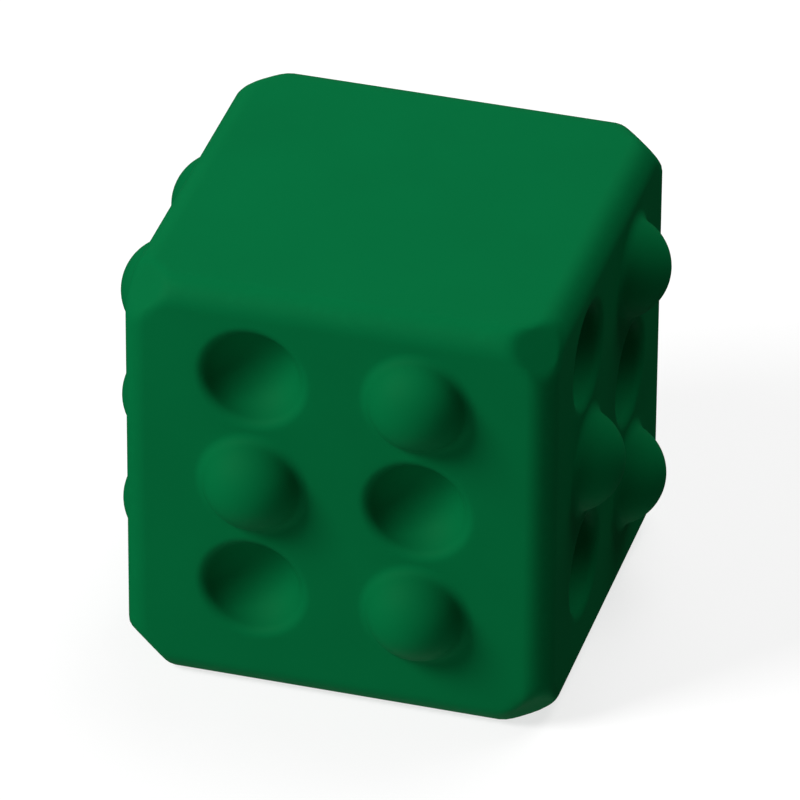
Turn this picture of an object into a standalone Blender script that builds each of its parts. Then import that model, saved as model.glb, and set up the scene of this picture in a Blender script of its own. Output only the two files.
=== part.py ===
"""Giant yard die: a hollow moulded lawn-game block with domed and dimpled marks.

The frame's origin is the middle of the flat underside. +Z is up, +X is the right-hand
side and -Y is the front. All sizes are in metres.
"""

import math

import bmesh
import bpy
from mathutils import Matrix, Vector

# ---- the block -------------------------------------------------------------------
WIDTH = 0.292                 # across the four sides
HEIGHT = 0.305
WALL = 0.004
EDGE_RADIUS = 0.018
CORNER_LEG = 0.041            # how far along each edge the corner facet reaches
CENTRE_Z = HEIGHT / 2

# ---- the marks -------------------------------------------------------------------
MARK_RADIUS = 0.0358          # of the sphere behind a dome or a dimple
MARK_SINK = 0.0104            # sphere centre to face plane
COLUMN_HALF = 0.0558          # half the distance between the two columns
ROW_PITCH = 0.0814
MARKS_Z = CENTRE_Z + 0.0092   # height of the middle row
ALTERNATE = (("dimple", "dome"), ("dome", "dimple"), ("dimple", "dome"))
ALL_DOMES = (("dome", "dome"),) * 3
ALL_DIMPLES = (("dimple", "dimple"),) * 3
# side: outward normal, the direction to the right as seen from outside, the marks
SIDES = {
    "front": ((0, -1, 0), (1, 0, 0), ALTERNATE),
    "right": ((1, 0, 0), (0, 1, 0), ALTERNATE),
    "back": ((0, 1, 0), (-1, 0, 0), ALL_DIMPLES),
    "left": ((-1, 0, 0), (0, -1, 0), ALL_DOMES),
}

# ---- the base opening and its cover ----------------------------------------------
GAP = 0.0003                  # left between pieces that touch
COVER_HALF = 0.108
COVER_CORNER = 0.012
COVER_THICKNESS = 0.005
GASKET_THICKNESS = 0.0015
OPENING_HALF = 0.090
LEDGE_HALF = 0.118
LEDGE_THICKNESS = 0.005
GASKET_Z = COVER_THICKNESS + GAP
LEDGE_Z = GASKET_Z + GASKET_THICKNESS + GAP

# ---- screws and inserts ----------------------------------------------------------
SCREW_PITCH = 0.099           # half the side of the square that the screws stand on
SCREW_RADIUS = 0.0027
SCREW_HEAD_RADIUS = 0.006
SCREW_HEAD_HEIGHT = 0.0024
SCREW_TOP_Z = 0.018
HEAD_RECESS = 0.0004          # how far a head lies above the underside
SOCKET_RADIUS = 0.0024
SOCKET_DEPTH = 0.0015
SCREW_CLEARANCE = 0.0004
INSERT_RADIUS = 0.0045
INSERT_LENGTH = 0.012
INSERT_Z = LEDGE_Z + GAP
BOSS_RADIUS = 0.008
BOSS_TOP_Z = INSERT_Z + INSERT_LENGTH + 0.0035

# ---- the vent bung ---------------------------------------------------------------
BUNG_Y = 0.058
BUNG_HEAD_RADIUS = 0.015
BUNG_HEAD_HEIGHT = 0.0032
BUNG_SHANK_RADIUS = 0.0096
BUNG_TOP_Z = 0.0156
BUNG_CLEARANCE = 0.0005
BUNG_BOSS_RADIUS = 0.019
BUNG_BOSS_TOP_Z = 0.016
BUNG_SLOT = (0.021, 0.0028, 0.0018)
SEAL_RADII = (0.0106, 0.0144)
SEAL_THICKNESS = 0.0015
BUNG_SEAT_Z = HEAD_RECESS + BUNG_HEAD_HEIGHT
SEAL_Z = BUNG_SEAT_Z + GAP
BUNG_FLOOR_Z = SEAL_Z + SEAL_THICKNESS + GAP

# ---- the centre post -------------------------------------------------------------
POST_RADIUS = 0.025
POST_WALL = 0.003
PAD_RADII = (0.008, 0.0246)
PAD_THICKNESS = 0.003
COLLAR_RADII = (0.0255, 0.029)
COLLAR_HEIGHT = 0.008
OVERLAP = 0.002               # how far an added boss runs into its wall
CEILING_Z = HEIGHT - WALL
LOWER_PAD_Z = COVER_THICKNESS + GAP
UPPER_PAD_Z = CEILING_Z - GAP - PAD_THICKNESS


def clear_scene():
    """Remove whatever the scene holds."""
    for obj in list(bpy.data.objects):
        bpy.data.objects.remove(obj, do_unlink=True)


def new_collection(name):
    """Make a collection and link it to the scene."""
    collection = bpy.data.collections.new(name)
    bpy.context.scene.collection.children.link(collection)
    return collection


def make_material(name, colour, roughness, metallic=0.0):
    """Principled material of one colour."""
    material = bpy.data.materials.new(name)
    material.use_nodes = True
    shader = material.node_tree.nodes["Principled BSDF"]
    shader.inputs["Base Color"].default_value = (*colour, 1.0)
    shader.inputs["Roughness"].default_value = roughness
    shader.inputs["Metallic"].default_value = metallic
    material.diffuse_color = (*colour, 1.0)
    return material


def add_object(name, mesh, collection, material=None):
    """Put a mesh into the scene as an object of a collection."""
    obj = bpy.data.objects.new(name, mesh)
    collection.objects.link(obj)
    if material is not None:
        mesh.materials.clear()
        mesh.materials.append(material)
    return obj


def mesh_from(bm, name):
    """Turn a bmesh into a mesh, with its normals facing outwards."""
    bmesh.ops.recalc_face_normals(bm, faces=bm.faces)
    mesh = bpy.data.meshes.new(name)
    bm.to_mesh(mesh)
    bm.free()
    return mesh


def make_cutter(name, mesh, collection):
    """Helper solid that other objects are cut by or joined with."""
    obj = add_object(name, mesh, collection)
    obj.hide_render = True
    obj.display_type = "WIRE"
    return obj


def combine(obj, other, operation):
    """Give an object a live Boolean with another one."""
    modifier = obj.modifiers.new(other.name, "BOOLEAN")
    modifier.operation = operation
    modifier.solver = "EXACT"
    modifier.object = other


def turn(obj, steps):
    """Spin a profile about the object's own Z axis."""
    modifier = obj.modifiers.new("turned", "SCREW")
    modifier.axis = "Z"
    modifier.steps = steps
    modifier.render_steps = steps
    modifier.use_merge_vertices = True
    modifier.merge_threshold = 0.00001


def profile_mesh(name, points, closed):
    """Profile in the XZ plane: a loop for a ring, or a line from axis to axis."""
    edges = [(i, i + 1) for i in range(len(points) - 1)]
    if closed:
        edges.append((len(points) - 1, 0))
    mesh = bpy.data.meshes.new(name)
    mesh.from_pydata([(radius, 0, z) for radius, z in points], edges, [])
    return mesh


def ring_profile(inner, outer, low, high):
    """Rectangular ring section that runs down its outer side."""
    return [(outer, high), (outer, low), (inner, low), (inner, high)]


def plate_mesh(name, half, low, high, corner):
    """Square plate with rounded upright edges."""
    bm = bmesh.new()
    bmesh.ops.create_cube(bm, size=1)
    bmesh.ops.scale(bm, vec=(2 * half, 2 * half, high - low), verts=bm.verts)
    bmesh.ops.translate(bm, vec=(0, 0, (low + high) / 2), verts=bm.verts)
    upright = [e for e in bm.edges if abs(e.verts[0].co.z - e.verts[1].co.z) > 0.5 * (high - low)]
    bmesh.ops.bevel(bm, geom=upright, offset=corner, segments=4, profile=0.5, affect="EDGES")
    return mesh_from(bm, name)


def cylinders_mesh(name, centres, radius, low, high, segments):
    """Upright cylinders of one size, at each of the centres."""
    bm = bmesh.new()
    for x, y in centres:
        place = Matrix.Translation((x, y, (low + high) / 2))
        bmesh.ops.create_cone(bm, cap_ends=True, segments=segments, radius1=radius,
                              radius2=radius, depth=high - low, matrix=place)
    return mesh_from(bm, name)


def block_mesh(name, inset):
    """The block with round edges and flat corner facets, all moved in by an inset."""
    bm = bmesh.new()
    bmesh.ops.create_cube(bm, size=1)
    side = WIDTH - 2 * inset
    bmesh.ops.scale(bm, vec=(side, side, HEIGHT - 2 * inset), verts=bm.verts)
    bmesh.ops.bevel(bm, geom=bm.edges[:], offset=EDGE_RADIUS - inset, segments=3,
                    profile=0.5, affect="EDGES")
    # the sum of a point's coordinates is the same all over a facet's plane
    reach = WIDTH + HEIGHT / 2 - CORNER_LEG - inset * math.sqrt(3)
    for sx in (-1, 1):
        for sy in (-1, 1):
            for sz in (-1, 1):
                facet = Vector((sx, sy, sz))
                bmesh.ops.bisect_plane(bm, geom=bm.verts[:] + bm.edges[:] + bm.faces[:],
                                       plane_co=facet * reach / 3, plane_no=facet,
                                       clear_outer=True)
                rim = [e for e in bm.edges if e.is_boundary]
                bmesh.ops.holes_fill(bm, edges=rim, sides=0)
    bmesh.ops.translate(bm, vec=(0, 0, CENTRE_Z), verts=bm.verts)
    return mesh_from(bm, name)


def mark_places(wanted):
    """Sphere centre and outward normal of every dome, or of every dimple."""
    sink = -MARK_SINK if wanted == "dome" else MARK_SINK
    for normal, right, rows in SIDES.values():
        normal, right = Vector(normal), Vector(right)
        for row, kinds in enumerate(rows):
            for column, kind in zip((-1, 1), kinds):
                if kind == wanted:
                    centre = normal * (WIDTH / 2 + sink) + right * column * COLUMN_HALF
                    centre.z = MARKS_Z + (1 - row) * ROW_PITCH
                    yield centre, normal


def marks_mesh(name, wanted, radius, segments, rings):
    """The spheres behind all the domes, or all the dimples."""
    bm = bmesh.new()
    for centre, normal in mark_places(wanted):
        turn_out = normal.to_track_quat("Z", "Y").to_matrix().to_4x4()
        bmesh.ops.create_uvsphere(bm, u_segments=segments, v_segments=rings, radius=radius,
                                  matrix=Matrix.Translation(centre) @ turn_out)
    return mesh_from(bm, name)


def screw_places():
    """The eight screws' places: the corners and mid-sides of a square."""
    steps = (-1, 0, 1)
    return [(i * SCREW_PITCH, j * SCREW_PITCH) for i in steps for j in steps if i or j]


def build_die_shell(parts, cutters, material):
    """One-piece moulded shell: a hollow block with its marks and the base opening."""
    core = make_cutter("core_cutter", block_mesh("core", WALL), cutters)
    core_domes = marks_mesh("core_domes", "dome", MARK_RADIUS - WALL, 14, 10)
    core_dimples = marks_mesh("core_dimples", "dimple", MARK_RADIUS + WALL, 16, 10)
    combine(core, make_cutter("core_dome_spheres", core_domes, cutters), "UNION")
    combine(core, make_cutter("core_dimple_spheres", core_dimples, cutters), "DIFFERENCE")

    shell = add_object("die_shell", block_mesh("die_shell", 0), parts, material)
    domes = marks_mesh("domes", "dome", MARK_RADIUS, 16, 10)
    dimples = marks_mesh("dimples", "dimple", MARK_RADIUS, 16, 10)
    combine(shell, make_cutter("dome_spheres", domes, cutters), "UNION")
    combine(shell, make_cutter("dimple_spheres", dimples, cutters), "DIFFERENCE")
    combine(shell, core, "DIFFERENCE")

    ledge_top = LEDGE_Z + LEDGE_THICKNESS
    ledge = plate_mesh("ledge", LEDGE_HALF, OVERLAP / 2, ledge_top, COVER_CORNER)
    combine(shell, make_cutter("ledge_block", ledge, cutters), "UNION")
    bosses = cylinders_mesh("bosses", screw_places(), BOSS_RADIUS,
                            LEDGE_Z + OVERLAP, BOSS_TOP_Z, 12)
    combine(shell, make_cutter("insert_bosses", bosses, cutters), "UNION")
    collar = profile_mesh("top_collar", ring_profile(
        *COLLAR_RADII, CEILING_Z - COLLAR_HEIGHT, CEILING_Z + OVERLAP), True)
    top_collar = make_cutter("top_collar", collar, cutters)
    turn(top_collar, 24)
    combine(shell, top_collar, "UNION")

    recess = plate_mesh("recess", COVER_HALF + GAP, -OVERLAP, LEDGE_Z, COVER_CORNER + GAP)
    combine(shell, make_cutter("cover_recess", recess, cutters), "DIFFERENCE")
    opening = plate_mesh("opening", OPENING_HALF, OVERLAP, ledge_top + OVERLAP, COVER_CORNER)
    combine(shell, make_cutter("base_opening", opening, cutters), "DIFFERENCE")
    pockets = cylinders_mesh("pockets", screw_places(), INSERT_RADIUS + GAP,
                             LEDGE_Z - OVERLAP, INSERT_Z + INSERT_LENGTH + GAP, 12)
    combine(shell, make_cutter("insert_pockets", pockets, cutters), "DIFFERENCE")


def build_base_cover(parts, cutters, material):
    """Flush cover of the base opening, with the bung's boss and the post's collar."""
    cover = add_object("base_cover", plate_mesh(
        "base_cover", COVER_HALF, 0, COVER_THICKNESS, COVER_CORNER), parts, material)
    boss = cylinders_mesh("bung_boss", [(0, BUNG_Y)], BUNG_BOSS_RADIUS,
                          COVER_THICKNESS - OVERLAP, BUNG_BOSS_TOP_Z, 24)
    combine(cover, make_cutter("bung_boss", boss, cutters), "UNION")
    collar = profile_mesh("base_collar", ring_profile(
        *COLLAR_RADII, COVER_THICKNESS - OVERLAP, COVER_THICKNESS + COLLAR_HEIGHT), True)
    base_collar = make_cutter("base_collar", collar, cutters)
    turn(base_collar, 24)
    combine(cover, base_collar, "UNION")

    head_floor = HEAD_RECESS + SCREW_HEAD_HEIGHT + GAP
    head_radius = SCREW_HEAD_RADIUS + SCREW_CLEARANCE
    heads = cylinders_mesh("head_pockets", screw_places(), head_radius, -OVERLAP, head_floor, 16)
    combine(cover, make_cutter("head_pockets", heads, cutters), "DIFFERENCE")
    holes = cylinders_mesh("cover_holes", screw_places(), SCREW_RADIUS + SCREW_CLEARANCE,
                           head_floor - OVERLAP, COVER_THICKNESS + OVERLAP, 12)
    combine(cover, make_cutter("cover_holes", holes, cutters), "DIFFERENCE")
    seat = cylinders_mesh("bung_seat", [(0, BUNG_Y)], BUNG_HEAD_RADIUS + BUNG_CLEARANCE,
                          -OVERLAP, BUNG_FLOOR_Z, 24)
    combine(cover, make_cutter("bung_seat", seat, cutters), "DIFFERENCE")
    bore = cylinders_mesh("bung_bore", [(0, BUNG_Y)], BUNG_SHANK_RADIUS + BUNG_CLEARANCE,
                          BUNG_FLOOR_Z - OVERLAP, BUNG_BOSS_TOP_Z + OVERLAP, 24)
    combine(cover, make_cutter("bung_bore", bore, cutters), "DIFFERENCE")


def build_base_gasket(parts, cutters, material):
    """Flat seal between the cover's rim and the shell's ledge."""
    low, high = GASKET_Z, GASKET_Z + GASKET_THICKNESS
    gasket = add_object("base_gasket", plate_mesh(
        "base_gasket", COVER_HALF - GAP, low, high, COVER_CORNER), parts, material)
    window = plate_mesh("gasket_window", OPENING_HALF, low - OVERLAP, high + OVERLAP, COVER_CORNER)
    combine(gasket, make_cutter("gasket_window", window, cutters), "DIFFERENCE")
    holes = cylinders_mesh("gasket_holes", screw_places(), SCREW_RADIUS + SCREW_CLEARANCE,
                           low - OVERLAP, high + OVERLAP, 12)
    combine(gasket, make_cutter("gasket_holes", holes, cutters), "DIFFERENCE")


def build_fasteners(parts, screw_material, insert_material):
    """Eight socket screws, and the eight threaded inserts that they hold in."""
    shoulder = HEAD_RECESS + SCREW_HEAD_HEIGHT
    socket_floor = HEAD_RECESS + SOCKET_DEPTH
    screw = profile_mesh("base_screw", [
        (0, SCREW_TOP_Z), (SCREW_RADIUS, SCREW_TOP_Z), (SCREW_RADIUS, shoulder),
        (SCREW_HEAD_RADIUS, shoulder), (SCREW_HEAD_RADIUS, HEAD_RECESS),
        (SOCKET_RADIUS, HEAD_RECESS), (SOCKET_RADIUS, socket_floor), (0, socket_floor)], False)
    insert = profile_mesh("threaded_insert", ring_profile(
        SCREW_RADIUS + GAP, INSERT_RADIUS, INSERT_Z, INSERT_Z + INSERT_LENGTH), True)
    for number, (x, y) in enumerate(screw_places(), 1):
        screw_copy = add_object(f"base_screw_{number}", screw, parts, screw_material)
        insert_copy = add_object(f"threaded_insert_{number}", insert, parts, insert_material)
        for piece in (screw_copy, insert_copy):
            piece.location = (x, y, 0)
            turn(piece, 12)


def build_bung(parts, cutters, bung_material, seal_material):
    """Vent bung with a coin slot, and its seal ring."""
    bung = add_object("vent_bung", profile_mesh("vent_bung", [
        (0, BUNG_TOP_Z), (BUNG_SHANK_RADIUS, BUNG_TOP_Z), (BUNG_SHANK_RADIUS, BUNG_SEAT_Z),
        (BUNG_HEAD_RADIUS, BUNG_SEAT_Z), (BUNG_HEAD_RADIUS, HEAD_RECESS), (0, HEAD_RECESS)],
        False), parts, bung_material)
    bung.location = (0, BUNG_Y, 0)
    turn(bung, 24)
    bm = bmesh.new()
    bmesh.ops.create_cube(bm, size=1)
    length, width, depth = BUNG_SLOT
    bmesh.ops.scale(bm, vec=(length, width, 2 * depth), verts=bm.verts)
    bmesh.ops.translate(bm, vec=(0, BUNG_Y, HEAD_RECESS), verts=bm.verts)
    combine(bung, make_cutter("coin_slot", mesh_from(bm, "coin_slot"), cutters), "DIFFERENCE")

    seal = add_object("bung_seal", profile_mesh("bung_seal", ring_profile(
        *SEAL_RADII, SEAL_Z, SEAL_Z + SEAL_THICKNESS), True), parts, seal_material)
    seal.location = (0, BUNG_Y, 0)
    turn(seal, 24)


def build_centre_post(parts, post_material, pad_material):
    """Tube that holds the top and the base apart, between two soft pads."""
    low = LOWER_PAD_Z + PAD_THICKNESS + GAP
    high = UPPER_PAD_Z - GAP
    post = add_object("centre_post", profile_mesh("centre_post", ring_profile(
        POST_RADIUS - POST_WALL, POST_RADIUS, low, high), True), parts, post_material)
    turn(post, 24)
    for name, pad_z in (("lower_post_pad", LOWER_PAD_Z), ("upper_post_pad", UPPER_PAD_Z)):
        pad = add_object(name, profile_mesh(name, ring_profile(
            *PAD_RADII, pad_z, pad_z + PAD_THICKNESS), True), parts, pad_material)
        turn(pad, 24)


def main():
    """Build every piece."""
    clear_scene()
    parts = new_collection("giant_yard_die")
    cutters = new_collection("cutters")
    green = make_material("moulded_green", (0.006, 0.145, 0.044), 0.55)
    cover_green = make_material("cover_green", (0.005, 0.12, 0.037), 0.6)
    seal_rubber = make_material("seal_rubber", (0.02, 0.02, 0.02), 0.8)
    steel = make_material("screw_steel", (0.55, 0.55, 0.56), 0.35, 1.0)
    brass = make_material("insert_brass", (0.72, 0.5, 0.2), 0.4, 1.0)
    black_plastic = make_material("black_plastic", (0.03, 0.03, 0.03), 0.5)
    grey_plastic = make_material("post_grey", (0.35, 0.36, 0.36), 0.6)

    build_die_shell(parts, cutters, green)
    build_base_cover(parts, cutters, cover_green)
    build_base_gasket(parts, cutters, seal_rubber)
    build_fasteners(parts, steel, brass)
    build_bung(parts, cutters, black_plastic, seal_rubber)
    build_centre_post(parts, grey_plastic, seal_rubber)


main()
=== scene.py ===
"""Finished look of the giant yard die: fine moulded surfaces, finishes, studio and camera.

All sizes are in metres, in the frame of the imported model.
"""

import logging
import math
from collections.abc import Callable, Iterable
from dataclasses import dataclass, field
from enum import Enum

import bmesh
import bpy
import numpy as np
from mathutils import Matrix, Vector

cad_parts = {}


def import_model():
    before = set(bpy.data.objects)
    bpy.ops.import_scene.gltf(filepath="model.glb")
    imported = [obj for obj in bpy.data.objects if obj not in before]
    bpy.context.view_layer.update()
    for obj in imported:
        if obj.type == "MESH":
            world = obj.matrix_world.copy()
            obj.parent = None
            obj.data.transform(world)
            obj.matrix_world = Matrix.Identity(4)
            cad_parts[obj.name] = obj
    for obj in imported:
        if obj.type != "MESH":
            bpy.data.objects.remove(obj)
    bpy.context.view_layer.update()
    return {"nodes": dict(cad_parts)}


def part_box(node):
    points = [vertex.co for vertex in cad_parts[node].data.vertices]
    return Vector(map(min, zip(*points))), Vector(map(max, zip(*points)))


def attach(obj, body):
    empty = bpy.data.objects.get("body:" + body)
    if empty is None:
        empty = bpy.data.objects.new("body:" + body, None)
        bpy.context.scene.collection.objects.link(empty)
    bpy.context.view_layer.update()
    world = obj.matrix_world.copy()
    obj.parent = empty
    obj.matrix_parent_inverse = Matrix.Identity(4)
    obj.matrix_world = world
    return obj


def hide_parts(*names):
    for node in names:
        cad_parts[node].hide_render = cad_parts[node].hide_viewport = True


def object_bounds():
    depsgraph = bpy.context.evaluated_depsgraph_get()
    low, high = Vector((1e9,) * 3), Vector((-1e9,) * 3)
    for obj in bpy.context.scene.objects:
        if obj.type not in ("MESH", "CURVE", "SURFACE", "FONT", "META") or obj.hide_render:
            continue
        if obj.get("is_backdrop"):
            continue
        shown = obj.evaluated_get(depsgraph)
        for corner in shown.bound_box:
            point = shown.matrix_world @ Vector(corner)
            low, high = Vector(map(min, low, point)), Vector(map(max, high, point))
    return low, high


LOG = logging.getLogger("giant_yard_die")
WELD = 1e-5                   # distance at which neighbouring surfaces are joined
TURN = 2 * math.pi
CRISP = 32.0                  # degrees past which an edge is shaded as sharp
CORNER_SHARE = 0.45           # most of a side that one rounded corner takes
COUNT = 8                     # screws, and inserts
Colour = tuple[float, float, float]
Point = tuple[float, float]
Row = list[tuple[float, float, float]]


# ---- node trees ----------------------------------------------------------------------


class Value:
    """One output socket, with arithmetic that adds Math nodes to its tree."""

    def __init__(self, graph: "Graph", socket: bpy.types.NodeSocket) -> None:
        """Wrap a socket.

        Args:
            graph: the tree that the socket is in.
            socket: the output socket.
        """
        self.graph = graph
        self.socket = socket

    def _math(self, operation: str, *terms: "Value | float") -> "Value":
        """Add a Math node that takes the given terms, in order.

        Args:
            operation: the node's operation.
            terms: values or numbers.

        Returns:
            The node's result.
        """
        inputs = dict(enumerate(terms))
        return self.graph.node("ShaderNodeMath", {"operation": operation}, inputs)

    def __add__(self, other: "Value | float") -> "Value":
        """Sum."""
        return self._math("ADD", self, other)

    __radd__ = __add__

    def __sub__(self, other: "Value | float") -> "Value":
        """Difference."""
        return self._math("SUBTRACT", self, other)

    def __rsub__(self, other: "Value | float") -> "Value":
        """Difference with the value on the right."""
        return self._math("SUBTRACT", other, self)

    def __mul__(self, other: "Value | float") -> "Value":
        """Product."""
        return self._math("MULTIPLY", self, other)

    __rmul__ = __mul__

    def __truediv__(self, other: "Value | float") -> "Value":
        """Quotient."""
        return self._math("DIVIDE", self, other)

    def __pow__(self, other: "Value | float") -> "Value":
        """Power."""
        return self._math("POWER", self, other)

    def __gt__(self, other: "Value | float") -> "Value":
        """One where the value is the larger, else nought."""
        return self._math("GREATER_THAN", self, other)

    def __abs__(self) -> "Value":
        """Size without sign."""
        return self._math("ABSOLUTE", self)

    def apply(self, operation: str) -> "Value":
        """Any Math operation of one term, such as a sine.

        Args:
            operation: the node's operation.

        Returns:
            The node's result.
        """
        return self._math(operation, self)

    def least(self, other: "Value | float") -> "Value":
        """The smaller of two values."""
        return self._math("MINIMUM", self, other)

    def most(self, other: "Value | float") -> "Value":
        """The larger of two values."""
        return self._math("MAXIMUM", self, other)


class Graph:
    """A node tree and the short way to add to it."""

    def __init__(self, tree: bpy.types.NodeTree) -> None:
        """Wrap a tree.

        Args:
            tree: a material's tree or a geometry tree.
        """
        self.tree = tree

    def node(
        self,
        kind: str,
        settings: dict[str, object] | None = None,
        inputs: dict[str | int, object] | None = None,
        output: str | int = 0,
    ) -> Value:
        """Add a node, set it up, and feed its sockets.

        Args:
            kind: the node's type.
            settings: properties of the node, set before its sockets are read.
            inputs: values, numbers, vectors or data for its sockets, by name or index.
            output: which output is wanted.

        Returns:
            The wanted output.
        """
        made = self.tree.nodes.new(kind)
        for name, value in (settings or {}).items():
            setattr(made, name, value)
        for key, value in (inputs or {}).items():
            if isinstance(value, Value):
                self.tree.links.new(value.socket, made.inputs[key])
            else:
                made.inputs[key].default_value = value
        return Value(self, made.outputs[output])

    def fade(self, value: Value, start: float, end: float, low: float = 0.0) -> Value:
        """Smooth step from one, at the start, down to a low value, at the end.

        Args:
            value: what the step is read at.
            start: where it is still one.
            end: where it has reached the low value.
            low: the low value.

        Returns:
            The step's height.
        """
        return self.node(
            "ShaderNodeMapRange",
            {"interpolation_type": "SMOOTHSTEP"},
            {0: value, 1: start, 2: end, 3: 1.0, 4: low},
        )

    def noise(self, scale: float, detail: float, where: Value) -> Value:
        """Smooth noise between nought and one.

        Args:
            scale: features in a metre.
            detail: octaves.
            where: the coordinate.

        Returns:
            The noise.
        """
        inputs = {"Vector": where, "Scale": scale, "Detail": detail, "Roughness": 0.55}
        return self.node("ShaderNodeTexNoise", {"noise_dimensions": "3D"}, inputs)


# ---- finishes ------------------------------------------------------------------------


@dataclass(frozen=True)
class Finish:
    """What all finishes share: a colour with soft clouds, a roughness and a fine grain."""

    name: str
    colour: Colour
    roughness: float
    metallic: float = 0.0
    specular: float = 0.5
    clouds: float = 0.06          # share by which the colour drifts
    cloud_scale: float = 14.0
    cloud_octaves: float = 3.0
    grain_octaves: float = 2.0
    grain_scale: float = 900.0
    grain_height: float = 0.00004
    stretch: tuple[float, float, float] = (1.0, 1.0, 1.0)

    def tint(self, graph: Graph, where: Value, drift: Value) -> Value:
        """Base colour that drifts a little over the surface.

        Args:
            graph: the material's tree.
            where: the object coordinate; not used here.
            drift: slow noise.

        Returns:
            The colour.
        """
        dark = (*(c * (1 - self.clouds) for c in self.colour), 1.0)
        light = (*(c * (1 + self.clouds) for c in self.colour), 1.0)
        return graph.node(
            "ShaderNodeMix", {"data_type": "RGBA"}, {0: drift, 6: dark, 7: light}, 2
        )

    def relief(self, graph: Graph, where: Value) -> Value:
        """Height of the fine grain, from nought to one."""
        return graph.noise(self.grain_scale, self.grain_octaves, where)

    def material(self) -> bpy.types.Material:
        """Build the material.

        Returns:
            The finished material.
        """
        material = bpy.data.materials.new(self.name)
        material.use_nodes = True
        material.diffuse_color = (*self.colour, 1.0)
        graph = Graph(material.node_tree)
        shader = material.node_tree.nodes["Principled BSDF"]
        shader.inputs["Metallic"].default_value = self.metallic
        shader.inputs["Specular IOR Level"].default_value = self.specular
        plain = graph.node("ShaderNodeTexCoord", output="Object")
        where = graph.node(
            "ShaderNodeMapping", None, {"Vector": plain, "Scale": self.stretch}
        )
        drift = graph.noise(self.cloud_scale, self.cloud_octaves, where)
        rough = self.roughness + (drift - 0.5) * (2 * self.clouds * self.roughness)
        bump = graph.node(
            "ShaderNodeBump",
            None,
            {"Strength": 1.0, "Distance": self.grain_height, "Height": self.relief(graph, where)},
        )
        links = material.node_tree.links
        links.new(self.tint(graph, plain, drift).socket, shader.inputs["Base Color"])
        links.new(rough.socket, shader.inputs["Roughness"])
        links.new(bump.socket, shader.inputs["Normal"])
        return material


@dataclass(frozen=True)
class MouldedSkin(Finish):
    """Green polyethylene as it leaves the mould, lighter along the block's edges: partly rubbed wear,
    partly a painted highlight.
    """

    half: Vector = field(kw_only=True)
    edge_wear_and_highlight: float = 0.10             # share by which edges are lighter: wear and painted highlight
    wear_and_highlight_reach: float = 0.016
    scuff_scale: float = 120.0
    scuff_octaves: float = 4.0
    scuff_band: Point = (0.7, 0.45)   # noise at which a scuff is full, and at its least
    scuff_least: float = 0.25
    ripple_ratio: float = 9.0     # how much coarser the ripple is than the grain
    ripple_share: float = 0.55    # of the relief's height

    def tint(self, graph: Graph, where: Value, drift: Value) -> Value:
        """The drifting colour, lightened where two faces meet: partly rubbed wear, partly a painted
        highlight.

        Args:
            graph: the material's tree.
            where: the object coordinate.
            drift: slow noise.

        Returns:
            The colour.
        """
        colour = super().tint(graph, where, drift)
        centred = graph.node(
            "ShaderNodeVectorMath",
            {"operation": "SUBTRACT"},
            {0: where, 1: (0.0, 0.0, self.half.z)},
        )
        parts = [
            graph.node("ShaderNodeSeparateXYZ", None, {0: centred}, axis) for axis in "XYZ"
        ]
        depth = [half - abs(part) for part, half in zip(parts, self.half)]
        low = depth[0].least(depth[1])
        high = depth[0].most(depth[1])
        second = high.least(low.most(depth[2]))
        # Lighter band along the edges, in patches: partly edge wear, partly a painted highlight that
        # stands in for the rounded edges catching the light.
        edge = graph.fade(second, 0.0, self.wear_and_highlight_reach)
        patches = graph.noise(self.scuff_scale, self.scuff_octaves, where)
        scuffs = graph.fade(patches, *self.scuff_band, self.scuff_least)
        worn_and_highlit = (*(min(1.0, c * (1 + self.edge_wear_and_highlight)) for c in self.colour), 1.0)
        return graph.node(
            "ShaderNodeMix", {"data_type": "RGBA"}, {0: edge * scuffs, 6: colour, 7: worn_and_highlit}, 2
        )

    def relief(self, graph: Graph, where: Value) -> Value:
        """Fine mould grain on a slow ripple.

        Args:
            graph: the material's tree.
            where: the object coordinate.

        Returns:
            The height, from nought to one.
        """
        fine = super().relief(graph, where)
        ripple = graph.noise(self.grain_scale / self.ripple_ratio, 1.0, where)
        return fine * (1 - self.ripple_share) + ripple * self.ripple_share


# ---- meshes --------------------------------------------------------------------------


def mesh_object(bm: bmesh.types.BMesh, name: str, material: bpy.types.Material | None,
                sharp: float = CRISP) -> bpy.types.Object:
    """Weld a bmesh, face it outwards, shade it and put it in the scene.

    Args:
        bm: the surfaces; it is freed.
        name: the piece's name.
        material: its finish, or None on a helper.
        sharp: edges that turn by more than these degrees stay crisp.

    Returns:
        The object, at the origin.
    """
    bmesh.ops.remove_doubles(bm, verts=bm.verts, dist=WELD)
    bmesh.ops.recalc_face_normals(bm, faces=bm.faces)
    mesh = bpy.data.meshes.new(name)
    bm.to_mesh(mesh)
    bm.free()
    if material is not None:
        mesh.materials.append(material)
    mesh.shade_smooth()
    mesh.set_sharp_from_angle(angle=math.radians(sharp))
    obj = bpy.data.objects.new(name, mesh)
    bpy.context.scene.collection.objects.link(obj)
    return obj


def settle(obj: bpy.types.Object) -> bpy.types.Object:
    """Turn an object's live modifiers into a plain mesh.

    Args:
        obj: the object.

    Returns:
        The same object, with no modifier left.
    """
    graph = bpy.context.evaluated_depsgraph_get()
    mesh = bpy.data.meshes.new_from_object(obj.evaluated_get(graph))
    obj.modifiers.clear()
    obj.data = mesh
    return obj


def discard(objects: Iterable[bpy.types.Object]) -> None:
    """Remove helper objects."""
    for obj in list(objects):
        bpy.data.objects.remove(obj, do_unlink=True)


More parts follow.
